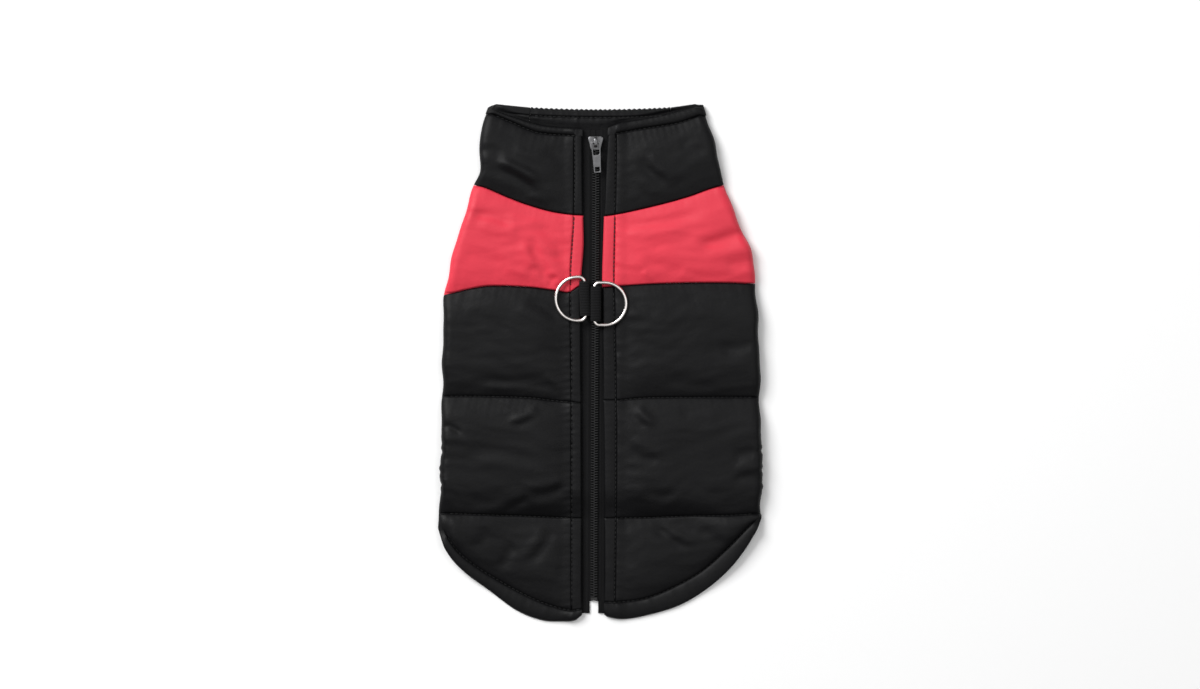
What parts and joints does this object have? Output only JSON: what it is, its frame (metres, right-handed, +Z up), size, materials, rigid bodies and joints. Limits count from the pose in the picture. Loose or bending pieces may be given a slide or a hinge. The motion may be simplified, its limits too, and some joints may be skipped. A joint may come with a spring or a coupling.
{
  "type": "dog winter coat",
  "caption": "Padded dog coat laid flat: zip up the back, contrast band, belly panel with two leg holes, and two D-rings for a leash.",
  "frame": {"origin": "on the surface the coat lies on, below the middle of its bounding box", "axes": "+Y from the hem to the collar along the zip, +Z up from the surface, +X to the right of the coat as seen from above"},
  "size_m": [0.2271, 0.3618, 0.0132],
  "materials": {
    "black_shell": "black polyester shell, slight satin sheen, padded",
    "red_shell": "red polyester shell, slight satin sheen, padded",
    "zip_tape": "matt black woven tape",
    "zip_coil": "black nylon coil",
    "gunmetal": "dark gunmetal plating",
    "nickel": "bright nickel plating",
    "webbing": "matt black woven webbing"
  },
  "bodies": {
    "coat": {"collar_left": "black_shell", "collar_right": "black_shell", "band_left": "red_shell", "band_right": "red_shell", "body_left": "black_shell", "body_right": "black_shell", "belly_panel": "black_shell", "zip_tape_left": "zip_tape", "zip_tape_right": "zip_tape", "zip_chain": "zip_coil", "zip_slider": "gunmetal", "loop_left": "webbing", "loop_right": "webbing"},
    "pull_tab": {"zip_pull": "gunmetal"},
    "d_ring_left": {"ring_left": "nickel"},
    "d_ring_right": {"ring_right": "nickel"}
  },
  "joints": [
    {"name": "pull_hinge", "type": "hinge", "parent": "coat", "child": "pull_tab", "pos_m": [-0.0034, 0.1539, 0.00965], "axis": [-0.998, -0.0628, 0], "range_deg": [0, 170]},
    {"name": "ring_left_hinge", "type": "hinge", "parent": "coat", "child": "d_ring_left", "pos_m": [-0.0108, 0.045, 0.0104], "axis": [-0.0349, 0.9994, 0], "range_deg": [0, 84]},
    {"name": "ring_right_hinge", "type": "hinge", "parent": "coat", "child": "d_ring_right", "pos_m": [-0.0044, 0.0413, 0.0104], "axis": [0, -1, 0], "range_deg": [0, 84]}
  ]
}
